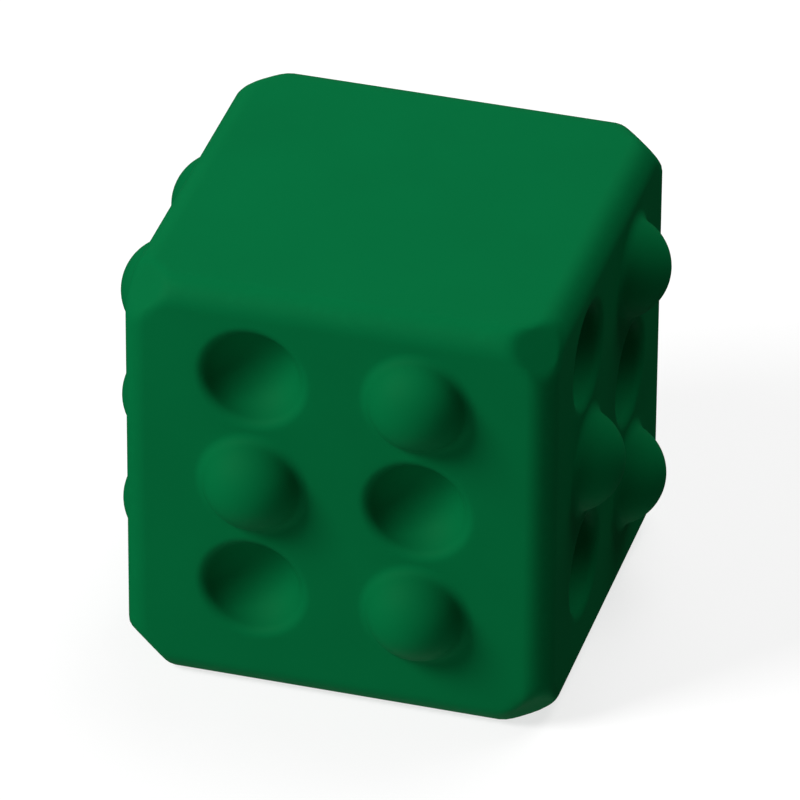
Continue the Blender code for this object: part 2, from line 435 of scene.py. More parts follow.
def combine(obj: bpy.types.Object, steps: Iterable[tuple[str, bpy.types.Object]],
            sharp: float = CRISP) -> bpy.types.Object:
    """Join an object with others, or cut it by them, in order.

    Args:
        obj: the object that stays.
        steps: pairs of Boolean operation and helper object; the helpers are removed.
        sharp: edges that turn by more than these degrees stay crisp.

    Returns:
        The object, as a plain mesh.
    """
    helpers = []
    for operation, other in steps:
        modifier = obj.modifiers.new(other.name, "BOOLEAN")
        modifier.operation = operation
        modifier.solver = "EXACT"
        modifier.object = other
        helpers.append(other)
    settle(obj)
    discard(helpers)
    obj.data.shade_smooth()
    obj.data.set_sharp_from_angle(angle=math.radians(sharp))
    return obj


def circle(radius: float, z: float, count: int, lobes: int = 0, depth: float = 0.0,
           start: float = 0.0) -> Row:
    """Level ring of points, round or with even lobes.

    Args:
        radius: the ring's mean radius.
        z: its height.
        count: points in it.
        lobes: how many times its radius swells.
        depth: by how much it swells and shrinks.
        start: angle of its first point.

    Returns:
        The points.
    """
    ring = []
    for step in range(count):
        angle = start + TURN * step / count
        reach = radius + depth * math.cos(lobes * angle)
        ring.append((reach * math.cos(angle), reach * math.sin(angle), z))
    return ring


def hexagon(radius: float, z: float, count: int) -> Row:
    """Level ring of points on a regular hexagon.

    Args:
        radius: from its centre to the middle of a side.
        z: its height.
        count: points in it, a multiple of six.

    Returns:
        The points.
    """
    ring = []
    for step in range(count):
        angle = TURN * step / count
        side = (angle % (TURN / 6)) - TURN / 12
        reach = radius / math.cos(side)
        ring.append((reach * math.cos(angle), reach * math.sin(angle), z))
    return ring


def thread(radius: float, depth: float, pitch: float, low: float, high: float,
           count: int) -> list[Row]:
    """Rings of a helical thread that fades out at both ends.

    Args:
        radius: the crest's radius.
        depth: crest to root.
        pitch: advance in one turn.
        low: the thread's lower end.
        high: its upper end.
        count: points in a ring.

    Returns:
        The rings, from the upper end down.
    """
    rings = []
    steps = max(2, round((high - low) / pitch * 6))
    for level in range(steps + 1):
        z = high + (low - high) * level / steps
        fade = min(1.0, (high - z) / pitch, (z - low) / pitch)
        ring = []
        for step in range(count):
            angle = TURN * step / count
            phase = (z / pitch - step / count) % 1.0
            groove = (0.5 + 0.5 * math.cos(TURN * phase)) * depth * fade
            reach = radius - groove
            ring.append((reach * math.cos(angle), reach * math.sin(angle), z))
        rings.append(ring)
    return rings


def skin(bm: bmesh.types.BMesh, rows: list[Row], closed: bool = False,
         place: Vector = Vector()) -> None:
    """Cover rings of equal count with faces.

    Args:
        bm: what the faces are added to.
        rows: the rings, in order along the surface.
        closed: whether the last ring joins the first; if not, both ends are closed flat.
        place: where the rings' own origin goes.
    """
    rings = [[bm.verts.new(Vector(point) + place) for point in row] for row in rows]
    pairs = list(zip(rings, rings[1:]))
    if closed:
        pairs.append((rings[-1], rings[0]))
    else:
        bm.faces.new(rings[0])
        bm.faces.new(rings[-1])
    for above, below in pairs:
        count = len(above)
        for step in range(count):
            after = (step + 1) % count
            bm.faces.new((above[step], above[after], below[after], below[step]))


def rounded(points: list[Point], radius: float, steps: int = 3,
            closed: bool = False) -> list[Point]:
    """Profile with every inner corner rounded by an arc-like curve.

    Args:
        points: radius and height of each corner.
        radius: how far a curve reaches along each side, at most.
        steps: points added at a corner.
        closed: whether the profile is a loop.

    Returns:
        The profile with its corners rounded.
    """
    count = len(points)
    result: list[Point] = []
    for index, corner in enumerate(points):
        if not closed and index in (0, count - 1):
            result.append(corner)
            continue
        here = Vector(corner)
        before, after = Vector(points[index - 1]), Vector(points[(index + 1) % count])
        start, end = (
            here + (other - here).normalized() * min(radius, (other - here).length * CORNER_SHARE)
            for other in (before, after))
        for step in range(steps + 1):
            t = step / steps
            result.append(tuple(start * (1 - t) ** 2 + here * 2 * t * (1 - t) + end * t ** 2))
    return result


def loop(radii: Point, heights: Point, soften: float, steps: int = 3) -> list[Point]:
    """Closed profile of a ring with softened edges.

    Args:
        radii: its inner and outer radius.
        heights: its lower and upper end.
        soften: how far its edges are rounded.
        steps: points added at an edge.

    Returns:
        The profile.
    """
    (inner, outer), (low, high) = radii, heights
    corners = [(outer, high), (outer, low), (inner, low), (inner, high)]
    return rounded(corners, soften, steps, closed=True)


def turned(profile: list[Point], count: int, start: float = 0.0) -> list[Row]:
    """Rings of a turned profile.

    Args:
        profile: radius and height of each point.
        count: points in a ring.
        start: angle of each ring's first point.

    Returns:
        The rings.
    """
    return [circle(radius, z, count, start=start) for radius, z in profile]


def square(half: float, corner: float, z: float, steps: int = 8) -> Row:
    """Level ring of points on a rounded square.

    Args:
        half: half its width.
        corner: the radius of its corners.
        z: its height.
        steps: parts of each corner's quarter turn.

    Returns:
        The points.
    """
    ring = []
    for quarter in range(4):
        for step in range(steps + 1):
            angle = TURN / 4 * (quarter + step / steps)
            side = TURN / 4 * (quarter + 0.5)
            x = math.copysign(half - corner, math.cos(side)) + corner * math.cos(angle)
            y = math.copysign(half - corner, math.sin(side)) + corner * math.sin(angle)
            ring.append((x, y, z))
    return ring


def helper(rows: list[Row], places: Iterable[Vector] = (Vector(),), closed: bool = False,
           name: str = "helper") -> bpy.types.Object:
    """Solid for joining or cutting, one copy at each place.

    Args:
        rows: its rings.
        places: where the rings' own origin goes.
        closed: whether the rings close on themselves.
        name: the helper's name.

    Returns:
        The helper object.
    """
    bm = bmesh.new()
    for place in places:
        skin(bm, rows, closed, place)
    return mesh_object(bm, name, None)


def middle(node: str) -> Vector:
    """Where a node's upright axis meets the underside's plane."""
    low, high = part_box(node)
    return Vector(((low.x + high.x) / 2, (low.y + high.y) / 2, 0.0))


def half_width(node: str) -> float:
    """Half of a node's size along X."""
    low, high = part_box(node)
    return (high.x - low.x) / 2


def numbered(node: str) -> list[str]:
    """Names of the nodes of a set, such as the eight screws."""
    return [f"{node}_{number}" for number in range(1, COUNT + 1)]


# ---- geometry trees ------------------------------------------------------------------


def start_tree(name: str, inputs: dict[str, str]) -> tuple[Graph, dict[str, Value]]:
    """Start a geometry tree that takes points and a finish, and gives pieces.

    Args:
        name: the tree's name.
        inputs: the kind of each further input, by name.

    Returns:
        The tree to add to, and every input's value by name.
    """
    tree = bpy.data.node_groups.new(name, "GeometryNodeTree")
    for label, kind in {"Points": "Geometry", **inputs, "Material": "Material"}.items():
        tree.interface.new_socket(label, in_out="INPUT", socket_type=f"NodeSocket{kind}")
    tree.interface.new_socket("Pieces", in_out="OUTPUT", socket_type="NodeSocketGeometry")
    graph = Graph(tree)
    given = tree.nodes.new("NodeGroupInput")
    return graph, {socket.name: Value(graph, socket) for socket in given.outputs if socket.name}


def end_tree(graph: Graph, take: dict[str, Value], piece: Value, turn: Value) -> bpy.types.NodeTree:
    """End a geometry tree with a copy of a piece on every point.

    Args:
        graph: the tree.
        take: its inputs by name.
        piece: the geometry to copy.
        turn: each copy's rotation.

    Returns:
        The finished tree.
    """
    copies = graph.node("GeometryNodeInstanceOnPoints", None, {
        "Points": take["Points"], "Instance": piece, "Rotation": turn})
    solid = graph.node("GeometryNodeRealizeInstances", None, {"Geometry": copies})
    dressed = graph.node("GeometryNodeSetMaterial", None, {
        "Geometry": solid, "Material": take["Material"]})
    result = graph.tree.nodes.new("NodeGroupOutput")
    graph.tree.links.new(dressed.socket, result.inputs["Pieces"])
    return graph.tree


def grow(obj: bpy.types.Object, tree: bpy.types.NodeTree,
         values: dict[str, object]) -> bpy.types.Object:
    """Run a geometry tree on an object and keep the result as its plain mesh.

    Args:
        obj: the object that the tree starts from.
        tree: the geometry tree.
        values: the tree's inputs by name.

    Returns:
        The object.
    """
    modifier = obj.modifiers.new(tree.name, "NODES")
    modifier.node_group = tree
    for item in tree.interface.items_tree:
        if item.in_out == "INPUT" and item.name in values:
            modifier[item.identifier] = values[item.name]
    obj.update_tag()
    bpy.context.view_layer.update()
    return settle(obj)


def points_object(name: str, places: list[Vector], **vectors: list[Vector]) -> bpy.types.Object:
    """Loose points that carry vector attributes.

    Args:
        name: the object's name.
        places: the points.
        vectors: one vector for each point, by attribute name.

    Returns:
        The object.
    """
    mesh = bpy.data.meshes.new(name)
    mesh.from_pydata(places, [], [])
    for attribute, values in vectors.items():
        data = mesh.attributes.new(attribute, "FLOAT_VECTOR", "POINT")
        data.data.foreach_set("vector", np.array(values, np.float32).ravel())
    obj = bpy.data.objects.new(name, mesh)
    bpy.context.scene.collection.objects.link(obj)
    return obj


# ---- the moulded shell ---------------------------------------------------------------


class Mark(Enum):
    """The two kinds of mark: the sphere's side of the face plane."""

    DOME = 1
    DIMPLE = -1


ALTERNATE = ((Mark.DIMPLE, Mark.DOME), (Mark.DOME, Mark.DIMPLE), (Mark.DIMPLE, Mark.DOME))
ALL_DOMES = ((Mark.DOME, Mark.DOME),) * 3
ALL_DIMPLES = ((Mark.DIMPLE, Mark.DIMPLE),) * 3
CELL_EIGHTHS = (0, 1, 3, 5, 7, 8)     # start, four corners and end of a walk round a cell


@dataclass(frozen=True)
class Face:
    """One face of the block: its outward, rightward and upward directions, and its marks."""

    outward: tuple[int, int, int]
    right: tuple[int, int, int]
    up: tuple[int, int, int]
    rows: tuple[tuple[Mark, Mark], ...] = ()


FACES = (
    Face((0, -1, 0), (1, 0, 0), (0, 0, 1), ALTERNATE),
    Face((1, 0, 0), (0, 1, 0), (0, 0, 1), ALTERNATE),
    Face((0, 1, 0), (-1, 0, 0), (0, 0, 1), ALL_DIMPLES),
    Face((-1, 0, 0), (0, -1, 0), (0, 0, 1), ALL_DOMES),
    Face((0, 0, 1), (1, 0, 0), (0, 1, 0)),
    Face((0, 0, -1), (1, 0, 0), (0, -1, 0)),
)


@dataclass(frozen=True)
class Mesh:
    """How finely the block's surface is divided."""

    around: int                   # points round a mark, a multiple of eight
    cap: int                      # rings on a mark's sphere
    fillet: int                   # rings on its fillet
    cell: int                     # rings from the fillet to the cell's border
    edge: int                     # steps round half of a block edge
    strip: int                    # steps between the marks' cells and an edge


FINE = Mesh(around=64, cap=14, fillet=6, cell=4, edge=9, strip=4)
COARSE = Mesh(around=24, cap=6, fillet=3, cell=1, edge=4, strip=1)


@dataclass
class BlockForm:
    """The block's outside, or its parallel inside: a round-edged box with corner facets."""

    half: float
    height: float
    edge_radius: float = 0.018
    corner_leg: float = 0.041
    facet_blend: float = 0.003
    mark_radius: float = 0.0358
    mark_sink: float = 0.0104
    fillet_radius: float = 0.0084
    column_half: float = 0.0558
    row_pitch: float = 0.0814
    middle_row: float = 0.0092    # above mid-height
    inset: float = 0.0
    rounds: int = 8               # corrections when a point is brought onto the form
    probe: float = 1e-5           # step over which the distance's slope is read

    @property
    def reach(self) -> np.ndarray:
        """Half sizes of the form."""
        return np.array([self.half, self.half, self.height / 2]) - self.inset

    def distance(self, points: np.ndarray) -> np.ndarray:
        """How far points lie outside the form.

        Args:
            points: one in each row, from the block's centre.

        Returns:
            The distances, below nought inside.
        """
        radius = self.edge_radius - self.inset
        away = np.abs(points) - (self.reach - radius)
        box = np.linalg.norm(np.maximum(away, 0), axis=1) - radius
        box += np.minimum(away.max(axis=1), 0)
        facet_sum = 2 * self.half + self.height / 2 - self.corner_leg
        facet = (np.abs(points).sum(axis=1) - facet_sum) / math.sqrt(3) + self.inset
        near = np.maximum(self.facet_blend - np.abs(box - facet), 0) / self.facet_blend
        return np.maximum(box, facet) + near * near * self.facet_blend / 4

    def mould(self, points: np.ndarray) -> np.ndarray:
        """Bring points of the surrounding cube onto the form.

        Args:
            points: one in each row, from the block's centre.

        Returns:
            The moved points.
        """
        radius = self.edge_radius - self.inset
        core = np.clip(points, radius - self.reach, self.reach - radius)
        outward = points - core
        moved = core + radius * outward / np.linalg.norm(outward, axis=1, keepdims=True)
        for _ in range(self.rounds):
            slope = np.stack([
                (self.distance(moved + self.probe * axis) - self.distance(moved - self.probe * axis))
                / (2 * self.probe) for axis in np.eye(3)], axis=1)
            gap = self.distance(moved)[:, None]
            moved = moved - gap * slope / (slope ** 2).sum(axis=1, keepdims=True)
        return moved

    def lines(self, reach: float, borders: list[float], mesh: Mesh) -> list[float]:
        """Grid lines across a face, closer together round the edges.

        Args:
            reach: half the form's size in this direction.
            borders: where the marks' cells begin and end.
            mesh: how finely to divide.

        Returns:
            The lines' places, in order.
        """
        radius = self.edge_radius - self.inset
        flat = reach - radius
        bend = [radius * math.tan(TURN / 8 * step / mesh.edge) for step in range(1, mesh.edge + 1)]
        places = [-flat - t for t in reversed(bend)]
        places += list(np.linspace(-flat, borders[0], mesh.strip + 1))[:-1]
        for low, high in zip(borders, borders[1:]):
            places += list(np.linspace(low, high, mesh.around // 4 + 1))[:-1]
        places += list(np.linspace(borders[-1], flat, mesh.strip + 1))
        return places + [flat + t for t in bend]

    def surface(self, mesh: Mesh) -> bmesh.types.BMesh:
        """The form without its marks: round holes wait where they go.

        Args:
            mesh: how finely to divide.

        Returns:
            The open surface.
        """
        across = [-2 * self.column_half, 0.0, 2 * self.column_half]
        upward = [self.middle_row + self.row_pitch * (row - 1.5) for row in range(4)]
        bm = bmesh.new()
        for face in FACES:
            u_reach, v_reach = (float(np.abs(self.reach @ np.array(a))) for a in (face.right, face.up))
            u_lines = self.lines(u_reach, across, mesh)
            v_lines = self.lines(v_reach, upward if face.rows else across, mesh)
            grid = [[(u, v) for u in u_lines] for v in v_lines]
            quads = []
            for low, high in zip(grid, grid[1:]):
                for a, b, c, d in zip(low, low[1:], high[1:], high):
                    u, v = (a[0] + c[0]) / 2, (a[1] + c[1]) / 2
                    marked = face.rows and abs(u) < across[-1] and upward[0] < v < upward[-1]
                    if not marked:
                        quads.append((a, b, c, d))
            for centre, _ in self.marks(face):
                quads += self.cell(centre, mesh)
            self.add_quads(bm, face, quads)
        return bm

    def marks(self, face: Face) -> list[tuple[Point, Mark]]:
        """Places and kinds of a face's marks.

        Args:
            face: the face.

        Returns:
            Pairs of place in the face and kind.
        """
        return [
            ((side * self.column_half, self.middle_row + (1 - row) * self.row_pitch), kind)
            for row, kinds in enumerate(face.rows)
            for side, kind in zip((-1, 1), kinds)
        ]

    @property
    def mark_reach(self) -> float:
        """Radius at which a mark's fillet meets the face."""
        together = self.mark_radius + self.fillet_radius
        return math.sqrt(together ** 2 - (self.mark_sink + self.fillet_radius) ** 2)

    def cell(self, centre: Point, mesh: Mesh) -> list[tuple[Point, ...]]:
        """Faces between a mark's round border and its cell's straight one.

        Args:
            centre: the mark's place in the face.
            mesh: how finely to divide.

        Returns:
            Four corners of each face, in the face's plane.
        """
        rings = []
        for ring in range(mesh.cell + 1):
            share = ring / mesh.cell
            points = []
            for step in range(mesh.around):
                angle = TURN * step / mesh.around
                x, y = math.cos(angle), math.sin(angle)
                eighth = 8 * step / mesh.around
                side_x = np.interp(eighth, CELL_EIGHTHS, (1, 1, -1, -1, 1, 1))
                side_y = np.interp(eighth, CELL_EIGHTHS, (0, 1, 1, -1, -1, 0))
                points.append((
                    centre[0] + (1 - share) * self.mark_reach * x + share * self.column_half * side_x,
                    centre[1] + (1 - share) * self.mark_reach * y
                    + share * self.row_pitch / 2 * side_y))
            rings.append(points)
        quads = []
        for inner, outer in zip(rings, rings[1:]):
            for step in range(mesh.around):
                after = (step + 1) % mesh.around
                quads.append((inner[step], outer[step], outer[after], inner[after]))
        return quads

    def add_quads(self, bm: bmesh.types.BMesh, face: Face, quads: list[tuple[Point, ...]]) -> None:
        """Move a face's quads onto the form and add them.

        Args:
            bm: what they are added to.
            face: the face that they are on.
            quads: corners in the face's plane.
        """
        axes = np.array([face.right, face.up], float)
        outward = np.array(face.outward, float)
        flat = np.array(quads).reshape(-1, 2) @ axes + outward * np.abs(self.reach @ outward)
        moved = self.mould(flat) + np.array([0, 0, self.height / 2])
        corners = [bm.verts.new(point) for point in moved]
        for start in range(0, len(corners), 4):
            bm.faces.new(corners[start:start + 4])


def mark_tree() -> bpy.types.NodeTree:
    """Geometry tree that puts one turned mark on every point.

    Returns:
        The tree; its inputs are the mark's sizes, how finely it is divided, and its finish.
    """
    sizes = dict.fromkeys(("Sphere Radius", "Sink", "Fillet Radius", "Direction"), "Float")
    counts = dict.fromkeys(("Around", "Cap Rings", "Fillet Rings"), "Int")
    graph, take = start_tree("moulded_marks", sizes | counts)
    radius, sink, fillet = take["Sphere Radius"], take["Sink"], take["Fillet Radius"]
    cap, rings = take["Cap Rings"], take["Cap Rings"] + take["Fillet Rings"]

    sheet = graph.node("GeometryNodeMeshGrid", None, {
        "Size X": 1.0, "Size Y": 1.0, "Vertices X": take["Around"] + 1, "Vertices Y": rings + 1})
    position = graph.node("GeometryNodeInputPosition")
    u = graph.node("ShaderNodeSeparateXYZ", None, {0: position}, "X") + 0.5
    ring = (graph.node("ShaderNodeSeparateXYZ", None, {0: position}, "Y") + 0.5) * rings
    together = radius + fillet
    widest = ((sink + fillet) / together).apply("ARCCOSINE")
    reach = (together * together - (sink + fillet) * (sink + fillet)) ** 0.5
    on_fillet = ring > cap + 0.5
    cap_angle = widest * (ring / cap).least(1.0)
    fillet_angle = widest * ((rings - ring) / take["Fillet Rings"]).least(1.0)
    cap_out, cap_up = radius * cap_angle.apply("SINE"), radius * cap_angle.apply("COSINE") - sink
    fillet_out = reach - fillet * fillet_angle.apply("SINE")
    fillet_up = fillet - fillet * fillet_angle.apply("COSINE")
    out = cap_out + (fillet_out - cap_out) * on_fillet
    up = (cap_up + (fillet_up - cap_up) * on_fillet) * take["Direction"]
    angle = u * TURN
    place = graph.node("ShaderNodeCombineXYZ", None, {
        0: out * angle.apply("COSINE"), 1: out * angle.apply("SINE"), 2: up})
    shaped = graph.node("GeometryNodeSetPosition", None, {"Geometry": sheet, "Position": place})
    mark = graph.node("GeometryNodeMergeByDistance", None, {"Geometry": shaped, "Distance": WELD})

    vector = {"data_type": "FLOAT_VECTOR"}
    outward = graph.node("GeometryNodeInputNamedAttribute", vector, {"Name": "outward"})
    across = graph.node("GeometryNodeInputNamedAttribute", vector, {"Name": "across"})
    facing = graph.node(
        "FunctionNodeAxesToRotation", {"primary_axis": "Z", "secondary_axis": "X"},
        {"Primary Axis": outward, "Secondary Axis": across})
    return end_tree(graph, take, mark, facing)


COLLAR = (0.0255, 0.029)      # radii of the rings that hold the post's pads
COLLAR_HEIGHT = 0.008


@dataclass
class DieShell:
    """The one-piece moulded shell, with its marks and the base opening."""

    skin: Finish
    wall: float = 0.004
    ledge_half: float = 0.118
    ledge_thickness: float = 0.005
    opening_half: float = 0.090
    corner: float = 0.012
    boss_radius: float = 0.008
    boss_cover: float = 0.0035
    bevel: float = 0.001
    collar: Point = COLLAR
    collar_height: float = COLLAR_HEIGHT
    soften: float = 0.0008
    sides: int = 32
    collar_sides: int = 48
    gap: float = 0.0003
    overlap: float = 0.002

    def form(self, inset: float) -> BlockForm:
        """The block's form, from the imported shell's box.

        Args:
            inset: how far inside the outer surface it runs.

        Returns:
            The form.
        """
        _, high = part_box("die_shell")
        return BlockForm(half=high.y, height=high.z, inset=inset)

    def moulded(self, name: str, inset: float, mesh: Mesh, tree: bpy.types.NodeTree,
                material: bpy.types.Material) -> bpy.types.Object:
        """The closed block surface with its marks.

        Args:
            name: the object's name.
            inset: how far inside the outer surface it runs.
            mesh: how finely to divide.
            tree: the marks' geometry tree.
            material: the finish.

        Returns:
            The closed object.
        """
        form = self.form(inset)
        bm = form.surface(mesh)
        for kind in Mark:
            places, outward, across = [], [], []
            for face in FACES:
                for (u, v), found in form.marks(face):
                    if found is kind:
                        normal = Vector(face.outward)
                        place = Vector(face.right) * u + Vector(face.up) * v
                        place += normal * abs(Vector(form.reach).dot(normal))
                        places.append(place + Vector((0, 0, form.height / 2)))
                        outward.append(normal)
                        across.append(Vector(face.right))
            marks = points_object("marks", places, outward=outward, across=across)
            grow(marks, tree, {
                "Sphere Radius": form.mark_radius - kind.value * inset,
                "Sink": form.mark_sink - kind.value * inset,
                "Fillet Radius": form.fillet_radius + kind.value * inset,
                "Direction": float(kind.value), "Around": mesh.around,
                "Cap Rings": mesh.cap, "Fillet Rings": mesh.fillet, "Material": material})
            bm.from_mesh(marks.data)
            discard([marks])
        LOG.info("%s: %d faces before the base is cut", name, len(bm.faces))
        return mesh_object(bm, name, material)

    def build(self) -> bpy.types.Object:
        """Make the shell.

        Returns:
            The finished piece.
        """
        material = self.skin.material()
        tree = mark_tree()
        shell = self.moulded("moulded_shell", 0.0, FINE, tree, material)
        core = self.moulded("core", self.wall, COARSE, tree, material)
        ledge_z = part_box("base_gasket")[1].z + self.gap
        ledge_top = ledge_z + self.ledge_thickness
        inserts = [middle(node) for node in numbered("threaded_insert")]
        insert_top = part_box("threaded_insert_1")[1].z
        boss_top = insert_top + self.boss_cover
        pocket = half_width("threaded_insert_1") + self.gap
        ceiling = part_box("die_shell")[1].z - self.wall
        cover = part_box("base_cover")[1].x + self.gap
        # The collar's points are turned by half a step to keep off the core's own lines.
        collar = turned(
            loop(self.collar, (ceiling - self.collar_height, ceiling + self.overlap), self.soften),
            self.collar_sides, TURN / (2 * self.collar_sides))

        combine(core, [
            ("DIFFERENCE", helper([square(self.ledge_half, self.corner, z)
                                   for z in (self.overlap / 2, ledge_top)])),
            ("DIFFERENCE", helper(turned([
                (self.boss_radius, ledge_z + self.overlap), (self.boss_radius, boss_top - self.bevel),
                (self.boss_radius - self.bevel, boss_top)], self.sides), inserts)),
            ("DIFFERENCE", helper(collar, closed=True)),
            ("UNION", helper([square(cover, self.corner + self.gap, z)
                              for z in (-self.overlap, ledge_z)])),
            ("UNION", helper([square(self.opening_half, self.corner, z)
                              for z in (self.overlap, ledge_top + self.overlap)])),
            ("UNION", helper(turned([(pocket, ledge_z - self.overlap), (pocket, insert_top + self.gap)],
                                    self.sides), inserts)),
        ])
        combine(shell, [("DIFFERENCE", core)])
        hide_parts("die_shell")
        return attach(shell, "die")


# ---- the base ------------------------------------------------------------------------


@dataclass(frozen=True)
class FastenerSizes:
    """Sizes inside the screws, the inserts and the bung, which their boxes don't give."""

    shank: float = 0.0027         # the screws'
    shoulder: float = 0.0028      # top of a screw's head
    socket: float = 0.0022        # half a socket's width across its flats
    socket_depth: float = 0.0015
    pitch: float = 0.001
    thread_depth: float = 0.0005
    bevel: float = 0.0003
    bung_shank: float = 0.0096
    bung_shoulder: float = 0.0036
    bung_pitch: float = 0.003
    bung_thread_depth: float = 0.0011


SIZES = FastenerSizes()


@dataclass
class BaseCover:
    """The flush cover of the base opening, with the bung's boss and the post's collar."""

    skin: Finish
    corner: float = 0.012
    thickness: float = 0.005
    rim: float = 0.0007           # how far the visible rim is rounded
    knee: float = 0.3             # share of the rim at its middle ring
    crisp: float = 14.0           # degrees past which an edge is shaded as sharp
    boss_radius: float = 0.019
    bevel: float = 0.001
    collar: Point = COLLAR
    collar_height: float = COLLAR_HEIGHT
    soften: float = 0.0008
    sides: int = 48
    hole_sides: int = 32
    seat_sides: int = 64
    clearance: float = 0.0004
    bung_clearance: float = 0.0005
    gap: float = 0.0003
    overlap: float = 0.002

    def recess(self, radius: float, floor: float, chamfer: float, sides: int,
               places: list[Vector]) -> bpy.types.Object:
        """Cutter for round recesses in the underside, wider at the mouth.

        Args:
            radius: the recess's radius.
            floor: the height of its floor.
            chamfer: by how much its radius grows at the mouth.
            sides: points round it.
            places: where the recesses go.

        Returns:
            The cutter.
        """
        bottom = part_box("base_cover")[0].z
        profile = [(radius, floor), (radius, bottom + chamfer),
                   (radius + 2 * chamfer, bottom - chamfer)]
        return helper(turned(profile, sides), places)

    def hole(self, radius: float, top: float, bottom: float, sides: int,
             places: list[Vector]) -> bpy.types.Object:
        """Cutter for round holes from one height to another."""
        return helper(turned([(radius, top), (radius, bottom)], sides), places)

    def build(self) -> bpy.types.Object:
        """Make the cover.

        Returns:
            The finished piece.
        """
        low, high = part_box("base_cover")
        screws = [middle(node) for node in numbered("base_screw")]
        bung = [middle("vent_bung")]
        head = half_width("base_screw_1") + self.clearance
        seat = half_width("vent_bung") + self.bung_clearance
        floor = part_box("bung_seal")[1].z + self.gap
        shank = SIZES.shank + self.clearance
        bore = SIZES.bung_shank + self.bung_clearance
        head_floor = SIZES.shoulder + self.gap

        bm = bmesh.new()
        skin(bm, [square(high.x - inward, self.corner - inward, z) for inward, z in (
            (self.rim, low.z), (self.rim * self.knee, low.z + self.rim * self.knee),
            (0.0, low.z + self.rim), (0.0, self.thickness))])
        cover = mesh_object(bm, "cover_plate", self.skin.material())
        collar = turned(
            loop(self.collar, (self.thickness - self.overlap, self.thickness + self.collar_height),
                 self.soften), self.sides)
        combine(cover, [
            ("UNION", helper(turned([
                (self.boss_radius - self.bevel, high.z), (self.boss_radius, high.z - self.bevel),
                (self.boss_radius, self.thickness - self.overlap)], self.sides), bung)),
            ("UNION", helper(collar, closed=True)),
            ("DIFFERENCE", self.recess(head, head_floor, self.clearance, self.hole_sides, screws)),
            ("DIFFERENCE", self.hole(shank, self.thickness + self.overlap,
                                     head_floor - self.overlap, self.hole_sides, screws)),
            ("DIFFERENCE", self.recess(seat, floor, self.bung_clearance, self.seat_sides, bung)),
            ("DIFFERENCE", self.hole(bore, high.z + self.overlap, floor - self.overlap,
                                     self.seat_sides, bung)),
        ], self.crisp)
        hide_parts("base_cover")
        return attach(cover, "die")


def copy_tree() -> bpy.types.NodeTree:
    """Geometry tree that puts a piece on every point, each turned by its own chance angle.

    Returns:
        The tree; its inputs are the piece, the largest turn, the seed and the finish.
    """
    graph, take = start_tree(
        "turned_copies", {"Piece": "Object", "Largest Turn": "Float", "Seed": "Int"})
    piece = graph.node("GeometryNodeObjectInfo", None, {"Object": take["Piece"]}, "Geometry")
    chance = graph.node(
        "FunctionNodeRandomValue", {"data_type": "FLOAT"},
        {"Min": 0.0, "Max": take["Largest Turn"], "Seed": take["Seed"]}, 1)
    turn = graph.node("ShaderNodeCombineXYZ", None, {2: chance})
    return end_tree(graph, take, piece, turn)


